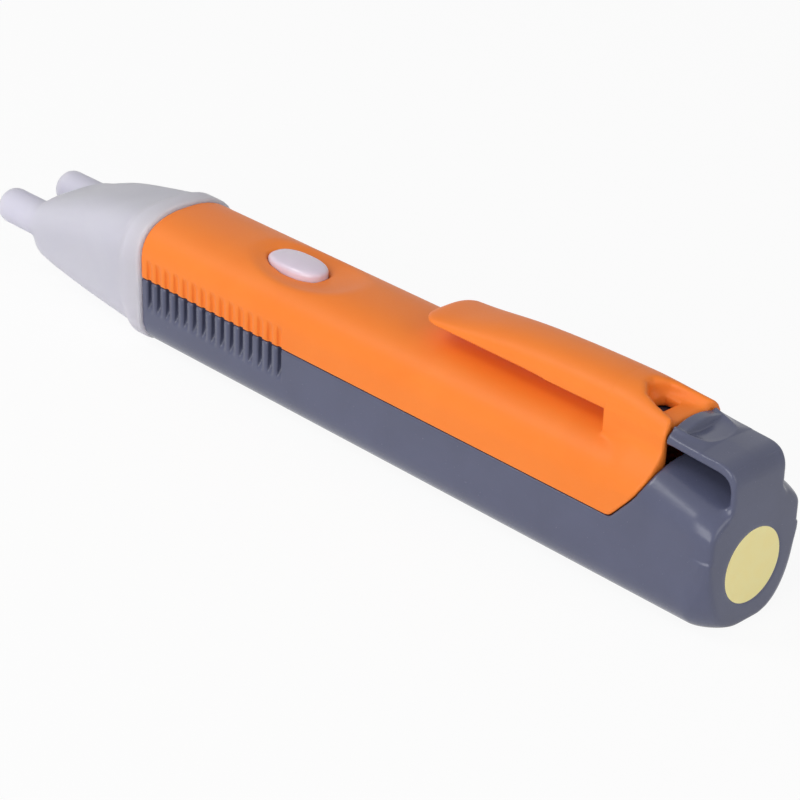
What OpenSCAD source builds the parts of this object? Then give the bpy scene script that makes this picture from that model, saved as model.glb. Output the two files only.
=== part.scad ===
// Pen-shaped non-contact voltage tester with a forked translucent nose,
// an upper shell with a pocket clip, and a battery tray that slides out at the tail.
// Millimetres. Nose at -X, tail at +X, the flat underside of the tray on Z = 0.

/* [Body] */
// length from the prong tips to the tail end
total_length = 155; // [153:157]
// width of the straight body
body_width = 18.7; // [18.4:19.4]
// height of the arched top of the upper shell
body_height = 21.2; // [21:21.8]
// height where the straight sides end and the arch begins
arch_start = 14.5; // [14:15]
// roundness of the arch, 2 is an ellipse
arch_power = 2.4; // [2.2:0.1:2.6]
// height of the line where the upper shell meets the tray
part_height = 11.7; // [11.6:0.1:11.9]
// half width of the flat strip underneath
flat_half = 4.8; // [4.5:0.1:5]
// height of the rounded lower corners
corner_height = 4.6; // [4.4:0.1:4.8]
// wall of the two shells
wall = 1.6; // [1.5:0.05:1.7]
// clearance between pieces that move past each other
moving_gap = 0.2; // [0.15:0.05:0.25]
// clearance between pieces that are fixed together
seat_gap = 0.05; // [0.03:0.01:0.08]

/* [Nose] */
// length of the nose from the prong tips to the shells
nose_length = 39.5; // [39:0.5:40]
// length of the prongs ahead of the nose front
prong_length = 7.2; // [6.5:0.1:7.8]
// radius of a prong
prong_radius = 3.05; // [2.9:0.05:3.2]
// distance between the two prong axes
prong_spacing = 11.8; // [11.4:0.1:12.2]
// height of the prong axes
prong_height = 10.9; // [10.6:0.1:11.1]
// half height of the nose at its front
nose_tip_half = 2.9; // [2.7:0.1:3.1]
// half height of the nose where it meets its collar
nose_root_half = 10.35; // [10.25:0.05:10.4]
// height of the middle of the nose at its front
nose_tip_z = 9.6; // [9.4:0.1:9.8]
// half width of the nose at its front
nose_tip_width = 8.2; // [8:0.1:8.6]
// half width of the nose where it meets its collar
nose_root_width = 9.6; // [9.5:0.05:9.65]
// squareness of the nose section
nose_power = 3.3; // [3.1:0.1:3.5]
// length of the collar that covers the front of the shells
collar_length = 4; // [3.6:0.1:4.4]
// how far the collar stands out of the shells
collar_step = 0.6; // [0.55:0.05:0.65]

/* [Grip] */
// number of finger grooves on each side
groove_count = 15; // [12:15]
// distance from one groove to the next
groove_pitch = 2.19; // [2.1:0.01:2.2]
// width of a groove
groove_width = 1.0; // [0.8:0.1:1.1]
// depth of a groove at its middle
groove_depth = 0.62; // [0.5:0.02:0.66]
// half height of a groove
groove_half = 4.9; // [4.5:0.1:5.2]

/* [Button] */
// length of the torch button
button_length = 11.6; // [11.2:0.1:12]
// width of the torch button
button_width = 6.4; // [6:0.1:6.6]
// distance of the button centre from the tail end
button_from_tail = 89.2; // [88.8:0.1:89.6]
// height of the button's crown
button_top = 20.9; // [20.8:0.05:21]
// travel of the button
button_travel = 0.6; // [0.4:0.05:0.65]
// length of the oval dish round the button
dish_length = 21; // [20:0.5:22]
// depth of the dish at its middle
dish_depth = 1.1; // [0.9:0.05:1.2]

/* [Clip] */
// distance of the clip tip from the tail end
clip_from_tail = 58.5; // [58:0.1:59]
// distance of the clip root from the tail end
root_from_tail = 22.8; // [22.6:0.1:23]
// half width of the clip at its root
clip_half = 5.2; // [5:0.1:5.4]
// height of the underside of the clip
clip_under = 24.0; // [23.9:0.1:24.2]
// height of the crown of the clip at its root
clip_top = 28.1; // [27.9:0.1:28.3]
// height of the crown of the clip at its tip
clip_tip_top = 25.0; // [24.9:0.1:25.2]

/* [Latch] */
// distance of the rear rim of the upper shell from the tail end
rim_from_tail = 11.7; // [11.5:0.1:11.9]
// distance of the lower rear corner of the upper shell from the tail end
corner_from_tail = 17.25; // [17:0.1:17.5]
// height of the underside of the latch tongue
tongue_under = 23.4; // [23.3:0.05:23.5]
// height of the top of the latch tongue at its front
tongue_top = 25.5; // [25.4:0.05:25.6]
// drop of the tongue and the tail top from the front of the tongue to the tail end
tongue_drop = 1.7; // [1.6:0.1:1.8]
// half width of the latch tongue
tongue_half = 5.4; // [5.2:0.1:5.6]
// thickness of the tail end wall
end_wall = 1.7; // [1.6:0.05:1.8]
// height of the arch of the tail end
shoulder_height = 20.3; // [20.1:0.05:20.4]
// step down from the tail end to the finger rest under the tongue
rest_step = 0.6; // [0.5:0.05:0.7]
// diameter of the round sticker on the tail
sticker_diameter = 10.9; // [10.5:0.1:11.2]
// height of the sticker centre
sticker_height = 8.4; // [8.2:0.1:8.6]

/* [Batteries] */
// diameter of a cell
cell_diameter = 10.3; // [10.1:0.05:10.4]
// length of a cell with its nub
cell_length = 44.5; // [44.3:0.1:44.5]
// length of the conical tail spring
spring_length = 5.2; // [5:0.1:5.4]

/* [Circuit board] */
// underside of the board
board_under = 13.2; // [13.1:0.05:13.3]
// thickness of the board
board_thickness = 1.2; // [1:0.1:1.2]
// width of the board in the body
board_width = 13.4; // [13:0.1:13.6]

/* [Hidden] */

half_width = body_width / 2;
x_tip = -total_length / 2;
x_end = total_length / 2;
x_front = x_tip + nose_length;
x_nose = x_tip + prong_length;
x_collar = x_front - collar_length;
x_button = x_end - button_from_tail;
x_clip = x_end - clip_from_tail;
x_root = x_end - root_from_tail;
x_rim = x_end - rim_from_tail;
x_corner = x_end - corner_from_tail;
x_groove = x_front + 2;
x_hinge = x_end - end_wall;
diag_x = x_rim - 0.6;
diag_z = part_height + 5.5;
prong_y = prong_spacing / 2;
floor_top = wall;
cell_z = floor_top + 0.4 + cell_diameter / 2;
cell_back = x_end - end_wall - 0.4 - spring_length;
cell_front = cell_back - 2 * cell_length;
nub_length = 1.2;
board_top = board_under + board_thickness;
board_front = x_nose + 8.5;
board_back = x_button + 11.5;
switch_top = board_top + 3.0;
plunger_top = switch_top + 1.0;
bridge_under = tongue_under + 0.6;
recess_floor = tongue_top - 0.2;
groove_radius = (groove_half * groove_half + groove_depth * groove_depth) / (2 * groove_depth);
spigot_in = wall - collar_step + 0.1;
wire = 0.5;
screw_y = 4.9;
post_top = arch_start + (body_height - arch_start) * 0.76;
screw_top = arch_start + (body_height - wall - arch_start) * 0.6;
x_dish = x_button + 2.2;
roof_under = switch_top + 1.3;
plate_under = switch_top + button_travel + 0.1;
crown_radius = 26;
tail_round = 2.2;

// half outline of the body section, inset by i, from the flat underside to a crown at height top
function half_outline(i, top) = concat(
  [for (a = [0 : 10 : 90]) [flat_half - 0.4 * i + (half_width - 0.6 * i - flat_half) * sin(a),
    max(i, 0) + (corner_height - max(i, 0)) * (1 - cos(a))]],
  [for (a = [0 : 6 : 90]) [(half_width - i) * pow(cos(a), 2 / arch_power),
    arch_start + (top - i - arch_start) * pow(sin(a), 2 / arch_power)]]);
function mirrored(h) = [for (k = [len(h) - 2 : -1 : 0]) [-h[k][0], h[k][1]]];
function body_outline(i, top = body_height) = concat(half_outline(i, top), mirrored(half_outline(i, top)));

// nose section at x, inset by i, a rounded box that opens from the front to the collar
function nose_t(x) = max(0, min(1, (x - x_nose) / (x_collar + 1 - x_nose)));
function nose_h(x) = nose_tip_half + (nose_root_half - nose_tip_half) * pow(nose_t(x), 0.46);
function nose_w(x) = nose_tip_width + (nose_root_width - nose_tip_width) * pow(nose_t(x), 0.65);
function nose_z(x) = nose_tip_z + (nose_root_half + 0.1 - nose_tip_z) * nose_t(x);
function signed_pow(v, p) = v < 0 ? -pow(-v, p) : pow(v, p);
function nose_outline(x, i) = [for (a = [0 : 7.5 : 352.5])
  [(nose_w(x) - i) * signed_pow(cos(a), 2 / nose_power),
   nose_z(x) + (nose_h(x) - i) * signed_pow(sin(a), 2 / nose_power)]];

// crowned clip section, flat underneath
function clip_t(x) = (x - x_clip) / (x_root - x_clip);
function clip_w(x) = (clip_half - 0.4 * (1 - clip_t(x)))
  * (clip_t(x) > 0.1 ? 1 : sqrt(max(0.02, 1 - pow(1 - clip_t(x) / 0.1, 2) * 0.85)));
function clip_z(x) = clip_tip_top + (clip_top - clip_tip_top) * sin(90 * pow(clip_t(x), 0.7))
  - (clip_t(x) > 0.06 ? 0 : 0.8 * pow(1 - clip_t(x) / 0.06, 2));
function clip_b(x) = clip_under + 0.25 * (1 - clip_t(x));
function clip_outline(x) = concat([[-clip_w(x), clip_b(x)], [clip_w(x), clip_b(x)]],
  [for (a = [6 : 8 : 174]) [clip_w(x) * signed_pow(cos(a), 0.87),
    clip_b(x) + 0.2 + (clip_z(x) - clip_b(x) - 0.2) * pow(sin(a), 0.87)]]);

// solid through a list of [x, outline] sections
module loft(s) {
  n = len(s[0][1]);
  m = len(s);
  polyhedron(
    points = [for (k = [0 : m - 1]) for (q = s[k][1]) [s[k][0], q[0], q[1]]],
    faces = concat(
      [[for (j = [0 : n - 1]) j]],
      [[for (j = [n - 1 : -1 : 0]) (m - 1) * n + j]],
      [for (k = [0 : m - 2]) for (j = [0 : n - 1])
        [k * n + j, (k + 1) * n + j, (k + 1) * n + (j + 1) % n]],
      [for (k = [0 : m - 2]) for (j = [0 : n - 1])
        [k * n + j, (k + 1) * n + (j + 1) % n, k * n + (j + 1) % n]]),
    convexity = 6);
}

// prism of a Y-Z outline between two X values
module along_x(x0, x1) {
  translate([x0, 0, 0]) rotate([90, 0, 90]) linear_extrude(x1 - x0) children();
}

// prism of an X-Z outline between two Y values
module along_y(y0, y1) {
  translate([0, y1, 0]) rotate([90, 0, 0]) linear_extrude(y1 - y0) children();
}

module body_prism(x0, x1, i, top = body_height) {
  along_x(x0, x1) polygon(body_outline(i, top));
}

module box(x0, x1, y0, y1, z0, z1) {
  translate([x0, y0, z0]) cube([x1 - x0, y1 - y0, z1 - z0]);
}

module both_sides() {
  children();
  mirror([0, 1, 0]) children();
}

module rod_x(x0, x1, y, z, r) {
  translate([x0, y, z]) rotate([0, 90, 0]) cylinder(h = x1 - x0, r = r, $fn = 48);
}

module rod_z(x, y, z0, z1, r) {
  translate([x, y, z0]) cylinder(h = z1 - z0, r = r, $fn = 48);
}

// finger grooves cut by thin discs, deepest on the parting line
module grip_cut() {
  for (k = [0 : groove_count - 1])
    both_sides()
      rod_x(x_groove + k * groove_pitch - groove_width / 2, x_groove + k * groove_pitch
        + groove_width / 2, half_width - groove_depth + groove_radius, part_height, groove_radius);
}

// side outline of the upper shell, with its slanted rear edge, moved back by g
module upper_side(g) {
  polygon([[x_front - 20, part_height - g], [x_corner + g, part_height - g],
    [diag_x + g, diag_z - g], [x_rim + g, diag_z + 3], [x_rim + g, 60], [x_front - 20, 60]]);
}

// plan ellipse with half axes a and b round the button
module plan_oval(x, a, b) {
  polygon([for (t = [0 : 7.5 : 352.5]) [x + a * cos(t), b * sin(t)]]);
}

// oval of the button, grown by g
module button_oval(g) {
  plan_oval(x_button, button_length / 2 + g, button_width / 2 + g);
}

// hump that carries the clip and roofs the latch
module hump() {
  along_x(x_root, x_rim)
    polygon([[-9.05, 15.6], [9.05, 15.6], [clip_half + 0.1, clip_under + 0.3],
      [-clip_half - 0.1, clip_under + 0.3]]);
  along_x(x_root, x_rim)
    polygon(concat([[-clip_half, clip_under - 2], [clip_half, clip_under - 2]],
      [for (a = [0 : 8 : 180]) [clip_half * signed_pow(cos(a), 0.87),
        clip_under + 0.2 + (clip_top - clip_under - 0.2) * pow(sin(a), 0.87)]]));
}

module upper_shell() {
  color("#F58233") {
    difference() {
      union() {
        intersection() {
          union() {
            body_prism(x_front, x_rim, 0);
            hump();
          }
          along_y(-30, 30) upper_side(0);
        }
        // spigot inside the nose collar
        intersection() {
          body_prism(x_front - 3.4, x_front + 2, spigot_in);
          box(x_front - 5, x_front + 3, -20, 20, part_height + 0.1, 40);
        }
      }
      difference() {
        body_prism(x_front + 2, x_rim + 1, wall);
        box(x_front, x_rim + 2, -20, 20, -1, part_height - 2);
        // thicker roof under the dish
        box(x_dish - dish_length / 2 - 1, x_dish + dish_length / 2 + 1, -6, 6, roof_under, 40);
      }
      body_prism(x_front - 5, x_front + 2.5, spigot_in + 1.2);
      // passage for the latch under the hump
      box(x_root + 1.6, x_rim + 1, -3.6, 3.6, 17, bridge_under);
      // mouth over the tongue root on the tail
      box(x_rim - 1.2, x_rim + 1, -4.6, 4.6, 19, bridge_under);
      // thumb recess and latch window in the hump
      translate([0, 0, recess_floor]) linear_extrude(10)
        polygon([[x_rim - 7.2, -0.9], [x_rim - 6.4, -2.2], [x_rim - 4, -3.1], [x_rim + 1, -3.9],
          [x_rim + 1, 3.9], [x_rim - 4, 3.1], [x_rim - 6.4, 2.2], [x_rim - 7.2, 0.9]]);
      translate([0, 0, bridge_under - 1]) linear_extrude(10)
        polygon([[x_rim - 6.9, -0.9], [x_rim - 6.2, -2], [x_rim - 3.2, -2.9],
          [x_rim - 3.2, 2.9], [x_rim - 6.2, 2], [x_rim - 6.9, 0.9]]);
      // dish and hole for the button
      translate([x_dish, 0, body_height + dish_radius() - dish_depth])
        sphere(r = dish_radius(), $fn = 240);
      translate([0, 0, 14]) linear_extrude(12) button_oval(moving_gap);
      translate([0, 0, 14]) linear_extrude(roof_under - 14) button_oval(0.8 + moving_gap);
      grip_cut();
    }
    // lips that guide the tray, with a bead for its groove
    both_sides() {
      box(x_front + 2, x_corner - 2, 6.65, half_width - wall + 0.4, part_height + 0.3, 13);
      box(x_front + 2, x_corner - 2, 6.65, half_width - wall - moving_gap, 10.2, part_height + 0.3);
      box(x_front + 2, x_corner - 2, half_width - wall - moving_gap, half_width - wall + 0.25, 10.4, 10.9);
    }
    // posts for the board screws
    for (x = screw_x())
      difference() {
        rod_z(x[0], x[1], board_top, post_top, 1.6);
        rod_z(x[0], x[1], board_top - 1, screw_top + 0.4, 0.75);
      }
    // ribs that hold the back of the board down
    both_sides()
      box(board_back - 3, board_back - 1.8, 4.2, 6.4, board_top + seat_gap, body_height - wall - 1);
  }
}
function dish_radius() = (pow(dish_length / 2, 2) + dish_depth * dish_depth) / (2 * dish_depth);
function screw_x() = [[x_front + 5, -screw_y], [x_button - 6.8, screw_y]];

module nose_lens() {
  color("#D4D1DC") difference() {
    union() {
      loft(concat(
        [[x_nose - 0.3, [for (q = nose_outline(x_nose, 1.4)) q]]],
        [[x_nose + 0.1, [for (q = nose_outline(x_nose, 0.5)) q]]],
        [for (k = [0 : 11]) let (x = x_nose + 0.9 + pow(k / 11, 1.4) * (x_collar + 0.8 - x_nose))
          [x, nose_outline(x, 0)]]));
      loft([[x_collar - 0.1, body_outline(0.9)], [x_collar + 0.25, body_outline(0.2)],
        [x_collar + 0.9, body_outline(-collar_step * 0.7)], [x_collar + 1.6, body_outline(-collar_step)],
        [x_front - 0.05, body_outline(-collar_step)]]);
      both_sides() {
        rod_x(x_tip + prong_radius, x_nose + 1, prong_y, prong_height, prong_radius);
        translate([x_nose + 1, prong_y, prong_height]) rotate([0, 90, 0])
          cylinder(h = 9, r1 = prong_radius, r2 = prong_radius - 1.6, $fn = 48);
        translate([x_tip + prong_radius, prong_y, prong_height]) sphere(r = prong_radius, $fn = 64);
      }
    }
    loft([for (k = [0 : 9]) let (x = x_nose + 2 + pow(k / 9, 1.3) * (x_collar + 1.2 - x_nose - 2))
      [x, nose_outline(x, 1.7)]]);
    body_prism(x_collar + 0.6, x_front + 1, wall - collar_step);
    both_sides()
      rod_x(x_tip + 2.2, x_nose + 4, prong_y - 0.4, prong_height, 1.3);
  }
}

module pocket_clip() {
  color("#F58233")
    loft([for (t = [0, 0.006, 0.018, 0.035, 0.06, 0.1, 0.2, 0.32, 0.45, 0.6, 0.75, 0.88, 1])
      let (x = x_clip + t * (x_root - moving_gap - x_clip)) [x, clip_outline(x)]]);
}

// cavity of the tray, open at the front and on top
module tray_hollow() {
  difference() {
    body_prism(x_front + 2, x_end - end_wall, wall, shoulder_height - rest_step);
    box(x_corner + 4, x_end + 1, -20, 20, shoulder_height - rest_step - 1.8, 40);
  }
  body_prism(x_front - 5, x_front + 2.5, wall + 1.0);
  // room for the guide lips and the wiper to pass as the tray slides
  intersection() {
    body_prism(x_front - 1, x_front + 3, wall);
    box(x_front - 2, x_front + 4, -20, 20, part_height - 2.2, 40);
  }
  box(x_front - 5, x_front + 3, -2.5, 0.4, floor_top, floor_top + 3);
}

module battery_tray() {
  color("#5C5C6B") {
    difference() {
      union() {
        difference() {
          union() {
            body_prism(x_front, x_end - 2.2, 0, shoulder_height - rest_step);
            tail_cap();
          }
          along_y(-30, 30) upper_side(moving_gap);
        }
        // hump of the end wall under the tongue root
        difference() {
          intersection() {
            along_x(x_hinge - 0.9, x_end)
              polygon([[-6.2, 17], [6.2, 17], [tongue_half + 0.2, tongue_under],
                [-tongue_half - 0.2, tongue_under]]);
            tail_rounding();
          }
          // falls away so that the tongue can turn
          along_y(-30, 30)
            polygon([[x_hinge, tongue_under], [x_hinge, tongue_under + 2], [x_hinge - 2, tongue_under + 2],
              [x_hinge - 2, tongue_under - 0.35]]);
        }
        intersection() {
          along_x(x_hinge + 0.15, x_end) tongue_section();
          tail_rounding();
        }
        intersection() {
          body_prism(x_front - 3, x_front + 2, spigot_in + moving_gap);
          box(x_front - 5, x_front + 3, -20, 20, -1, part_height - 2.4);
        }
      }
      tray_hollow();
      grip_cut();
      // grooves for the beads of the upper shell
      both_sides()
        box(x_front - 5, x_corner - 1, half_width - wall - 0.3, half_width - wall + 0.25 + moving_gap,
          10.2, 11.1);
      // bed of the sticker
      rod_x(x_end - 0.12, x_end + 1, 0, sticker_height, sticker_diameter / 2 + 0.1);
      // channel of the return strip
      box(wiper_x + 2, x_end - end_wall, -2.2, 2.2, floor_top - 0.3, floor_top + 0.1);
    }
    // cradles under the cells
    for (x = [cell_front + 8, cell_front + 36, cell_front + 52, cell_front + 80])
      difference() {
        intersection() {
          body_prism(x, x + 1.2, wall - 0.2);
          box(x - 1, x + 3, -20, 20, 0.5, cell_z);
        }
        rod_x(x - 1, x + 3, 0, cell_z, cell_diameter / 2 + 0.1);
        box(x - 1, x + 3, -2.2, 2.2, floor_top - 0.3, floor_top + 1);
      }
  }
}

// side outline of the tongue and the tail top, falling to a rounded end
module tail_rounding() {
  along_y(-30, 30)
    polygon(concat([[x_rim - 1, 15], [x_end, 15]],
      [for (a = [0 : 15 : 90]) [x_end - tail_round + tail_round * cos(a),
        tongue_top - tongue_drop - tail_round + tail_round * sin(a)]],
      [[x_rim - 1, tongue_top]]));
}

module tail_cap() {
  loft(concat([[x_end - 2.6, body_outline(0, shoulder_height)]],
    [for (a = [0 : 15 : 90]) [x_end - 2.2 + 2.2 * sin(a), body_outline(1.1 * (1 - cos(a)), shoulder_height)]]));
}

module tongue_section() {
  polygon([[-tongue_half, tongue_under], [tongue_half, tongue_under], [tongue_half, tongue_under + 1],
    [tongue_half - 1.3, tongue_top], [1.3 - tongue_half, tongue_top], [-tongue_half, tongue_under + 1]]);
}

module latch_tongue() {
  color("#5C5C6B") {
    difference() {
      intersection() {
        along_x(x_rim + moving_gap, x_hinge) tongue_section();
        tail_rounding();
      }
      // thumb scoop behind the front lip
      translate([x_rim + 5.6, 0, tongue_top + scoop_radius() - 0.75]) rotate([90, 0, 0])
        cylinder(h = 2 * tongue_half - 3.2, r = scoop_radius(), center = true, $fn = 120);
    }
    // arm with the pad that shows in the latch window
    box(x_rim - 7.4, x_rim + moving_gap + 1, -2.9, 2.9, bridge_under - 1.7, bridge_under - moving_gap);
    box(x_rim - 1, x_rim + 3, -2.9, 2.9, bridge_under - 1.7, tongue_under + 0.3);
  }
}
function scoop_radius() = (pow(3.2, 2) + 0.75 * 0.75) / 1.5;

module torch_button() {
  color("#E4D9E6") difference() {
    union() {
      intersection() {
        translate([0, 0, plate_under]) linear_extrude(5) button_oval(0);
        translate([x_button, 0, button_top - crown_radius]) sphere(r = crown_radius, $fn = 160);
      }
      // flange that keeps the button in
      translate([0, 0, plate_under]) linear_extrude(0.5) button_oval(0.8);
    }
    // socket for the stub of the switch
    rod_z(x_button, 0, plate_under - 1, plunger_top + seat_gap, 1.9);
  }
}

module inspection_sticker() {
  color("#E9D88F") rod_x(x_end - 0.1, x_end - 0.01, 0, sticker_height, sticker_diameter / 2);
}

module circuit_board() {
  color("#2E6B3A") difference() {
    union() {
      box(x_front - 3, board_back, -board_width / 2, board_width / 2, board_under, board_top);
      box(board_front, x_front - 2, -5.5, 5.5, board_under, board_top);
    }
    for (x = screw_x()) rod_z(x[0], x[1], board_under - 1, board_top + 1, 1.1);
    // holes of the leads
    for (q = lead_holes()) rod_z(q[0], q[1], board_under - 1, board_top + 1, 0.4);
  }
}
led_x = board_front + 3.5;
alarm_x = x_front - 9.2;
alarm_z = board_top + 1.65;
buzzer_x = alarm_x - 4.3;
fork_x = board_front + 1.4;
function lead_holes() = [[led_x, 1.27], [led_x, -1.27], [alarm_x + 3, 1.27], [alarm_x + 3, -1.27],
  [buzzer_x, 2.5], [buzzer_x, -2.5], [fork_x, 4.4], [fork_x, -4.4]];

module board_screws() {
  color("#B9BBC0") for (q = screw_x()) {
    difference() {
      rod_z(q[0], q[1], board_under - 1.1, board_under - seat_gap, 1.5);
      box(q[0] - 1.2, q[0] + 1.2, q[1] - 0.2, q[1] + 0.2, board_under - 2, board_under - 0.6);
      box(q[0] - 0.2, q[0] + 0.2, q[1] - 1.2, q[1] + 1.2, board_under - 2, board_under - 0.6);
    }
    rod_z(q[0], q[1], board_under - 0.2, screw_top, 0.7);
  }
}

module sensor_fork() {
  color("#C98A4B") both_sides() {
    rod_x(x_tip + 3, fork_x, 5.2, prong_height, 0.35);
    translate([fork_x, 5.2, prong_height]) sphere(r = 0.35, $fn = 32);
    translate([fork_x, 5.2, prong_height]) rotate([90, 0, 0]) cylinder(h = 0.8, r = 0.35, $fn = 32);
    translate([fork_x, 4.4, prong_height]) sphere(r = 0.35, $fn = 32);
    rod_z(fork_x, 4.4, prong_height, board_top + 0.5, 0.35);
  }
}

// LED along -X with its flange at x, on an axis at height z
module led(x, z, r) {
  rod_x(x - 0.8, x, 0, z, r + 0.3);
  rod_x(x - 3.6 * r / 1.5, x - 0.5, 0, z, r);
  translate([x - 3.6 * r / 1.5, 0, z]) sphere(r = r, $fn = 48);
}

module alarm_led() {
  color("#D0342C") led(alarm_x, alarm_z, 1.3);
}

module torch_led() {
  color("#E8EDF2") led(led_x - 3, prong_height - 0.4, 1.9);
}

// bent wire from the back of an LED at x0 to the board at x1
module led_lead(x0, x1, y, z, z1) {
  rod_x(x0, x1, y, z, 0.25);
  translate([x1, y, z]) sphere(r = 0.25, $fn = 24);
  rod_z(x1, y, min(z, z1), max(z, z1), 0.25);
}

module led_leads() {
  color("#BFC2C6") both_sides() {
    led_lead(alarm_x + 0.02, alarm_x + 3, 1.27, alarm_z, board_under - 0.6);
    led_lead(led_x - 2.98, led_x, 1.27, prong_height - 0.4, board_top + 0.6);
  }
}

module buzzer() {
  color("#26262A") difference() {
    rod_z(buzzer_x, 0, board_under - 5.4, board_under - seat_gap, 4.7);
    rod_z(buzzer_x, 0, board_under - 6, board_under - 4.8, 1);
  }
}

module buzzer_pins() {
  color("#C5C7CA") both_sides() rod_z(buzzer_x, 2.5, board_under + seat_gap, board_top + 0.8, 0.3);
}

chip_x = (x_front + x_button) / 2 - 1;
chip_half = min(4.3, (x_button - x_front) / 2 - 2.5);
leg_side = floor((chip_half - 0.2) / 1.27);
module logic_chip() {
  color("#1E1E22") difference() {
    box(chip_x - chip_half, chip_x + chip_half, -1.95, 1.95, board_top + 0.15, board_top + 1.7);
    rod_z(chip_x - chip_half + 0.7, -1.2, board_top + 1.55, board_top + 2, 0.35);
  }
}

module chip_legs() {
  color("#C5C7CA") both_sides() for (k = [-leg_side : leg_side]) {
    box(chip_x + k * 1.27 - 0.2, chip_x + k * 1.27 + 0.2, 1.97, 2.5, board_top + 0.75, board_top + 0.95);
    box(chip_x + k * 1.27 - 0.2, chip_x + k * 1.27 + 0.2, 2.3, 2.5, board_top + 0.02, board_top + 0.95);
    box(chip_x + k * 1.27 - 0.2, chip_x + k * 1.27 + 0.2, 2.3, 3.1, board_top + 0.02, board_top + 0.22);
  }
}

module chip_resistors() {
  color("#303238") for (k = [0 : 1]) for (y = [0.8, 4]) both_sides()
    box(x_button + 3.6 + k * 2.4, x_button + 4.85 + k * 2.4, y, y + 2, board_top + 0.02, board_top + 0.6);
}

module chip_capacitors() {
  color("#A98A5E") for (k = [0 : 1]) both_sides()
    box(x_front - 2 + k * 2.6, x_front - 0.75 + k * 2.6, 3.4, 5.4, board_top + 0.02, board_top + 0.9);
}

can_radius = min(2, (body_height - spigot_in - 1.5 - board_top) / 2);
module can_capacitor() {
  color("#2F3A57") rod_x(x_front - 4.5, x_front + 1, 0, board_top + 0.1 + can_radius, can_radius);
}

module transistors() {
  color("#1E1E22") both_sides()
    box(alarm_x + 0.2, alarm_x + 3.1, 3.3, 4.6, board_top + 0.1, board_top + 1.1);
}

module switch_body() {
  color("#2A2A2E") difference() {
    box(x_button - 3, x_button + 3, -3, 3, board_top + 0.02, switch_top);
    rod_z(x_button, 0, switch_top - 1.2, switch_top + 1, 1.75 + 0.05);
  }
}

module switch_legs() {
  color("#C5C7CA") both_sides() for (s = [-1, 1]) {
    box(x_button + s * 2.25 - 0.35, x_button + s * 2.25 + 0.35, 3.02, 3.3, board_top + 0.02, board_top + 1.6);
    box(x_button + s * 2.25 - 0.35, x_button + s * 2.25 + 0.35, 3.02, 4.6, board_top + 0.02, board_top + 0.3);
  }
}

module switch_plunger() {
  color("#E9E6E0") rod_z(x_button, 0, switch_top - 0.5, plunger_top, 1.75);
}

module positive_contact() {
  color("#C9CCD1") {
    box(cell_front - 0.5, cell_front - 0.1, -2.8, 2.8, floor_top + 3, board_under - 0.9);
    box(cell_front - 3.6, cell_front - 0.1, -2.8, 2.8, board_under - 0.5, board_under - 0.1);
    box(cell_front - 0.5, cell_front - 0.1, -2.8, 2.8, board_under - 1, board_under - 0.1);
  }
}

wiper_x = x_front + 3;
module negative_wiper() {
  color("#C9CCD1") mirror([0, 1, 0]) {
    box(wiper_x - 3.6, wiper_x + 0.4, 4.4, 5.9, board_under - 0.45, board_under - 0.05);
    box(wiper_x, wiper_x + 0.4, 4.4, 5.9, floor_top + 1.9, board_under - 0.05);
    box(wiper_x, wiper_x + 0.4, 0.2, 5.9, floor_top + 1.9, floor_top + 2.7);
    box(wiper_x, wiper_x + 0.4, 0.2, 1.9, floor_top + 0.05, floor_top + 2.3);
    box(wiper_x, wiper_x + 4.4, 0.2, 1.9, floor_top + 0.05, floor_top + 0.35);
  }
}

// cell with its positive end towards the nose
module cell(x0) {
  difference() {
    rod_x(x0 + nub_length, x0 + cell_length - 0.05, 0, cell_z, cell_diameter / 2);
    rod_x(x0 + nub_length - 1, x0 + nub_length + 0.5, 0, cell_z, 2.6);
  }
}

module front_cell() {
  color("#3C3F46") cell(cell_front);
}

module rear_cell() {
  color("#3C3F46") cell(cell_front + cell_length);
}

module cell_caps() {
  color("#D5D6D8") for (x = [cell_front, cell_front + cell_length]) {
    rod_x(x + 0.05, x + nub_length + 0.45, 0, cell_z, 1.9);
    rod_x(x + nub_length + 0.1, x + nub_length + 0.45, 0, cell_z, 2.5);
  }
}

// conical coil between the rear cell and the tail wall
module tail_spring() {
  turns = 3.5;
  n = 84;
  r0 = 3.6;
  r1 = 2.2;
  x0 = cell_back + wire / 2 + 0.05;
  run = spring_length - wire - 0.1;
  rings = [for (k = [0 : n]) let (t = k / n, a = 360 * turns * t, r = r1 + (r0 - r1) * t)
    [for (j = [0 : 5]) let (b = 60 * j)
      [x0 + run * t + wire / 2 * sin(b), (r + wire / 2 * cos(b)) * cos(a),
       cell_z + (r + wire / 2 * cos(b)) * sin(a)]]];
  echo(coil_gap = run / turns - wire);
  color("#BFC2C6") polyhedron(
    points = [for (q = rings) for (v = q) v],
    faces = concat([[5, 4, 3, 2, 1, 0]], [[for (j = [0 : 5]) n * 6 + j]],
      [for (k = [0 : n - 1]) for (j = [0 : 5])
        [k * 6 + j, k * 6 + (j + 1) % 6, (k + 1) * 6 + (j + 1) % 6]],
      [for (k = [0 : n - 1]) for (j = [0 : 5])
        [k * 6 + j, (k + 1) * 6 + (j + 1) % 6, (k + 1) * 6 + j]]),
    convexity = 8);
}

module spring_plate() {
  color("#C9CCD1") {
    box(x_end - end_wall - 0.35, x_end - end_wall - 0.02, -4.5, 4.5, 2.4, 12);
    box(x_end - end_wall - 0.35, x_end - end_wall - 0.02, -2, 2, floor_top + 0.02, 2.6);
  }
}

module return_strip() {
  color("#C9CCD1")
    box(wiper_x + 2.2, x_end - end_wall - 0.4, -2, 2, floor_top - 0.28, floor_top + 0.02);
}

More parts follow.
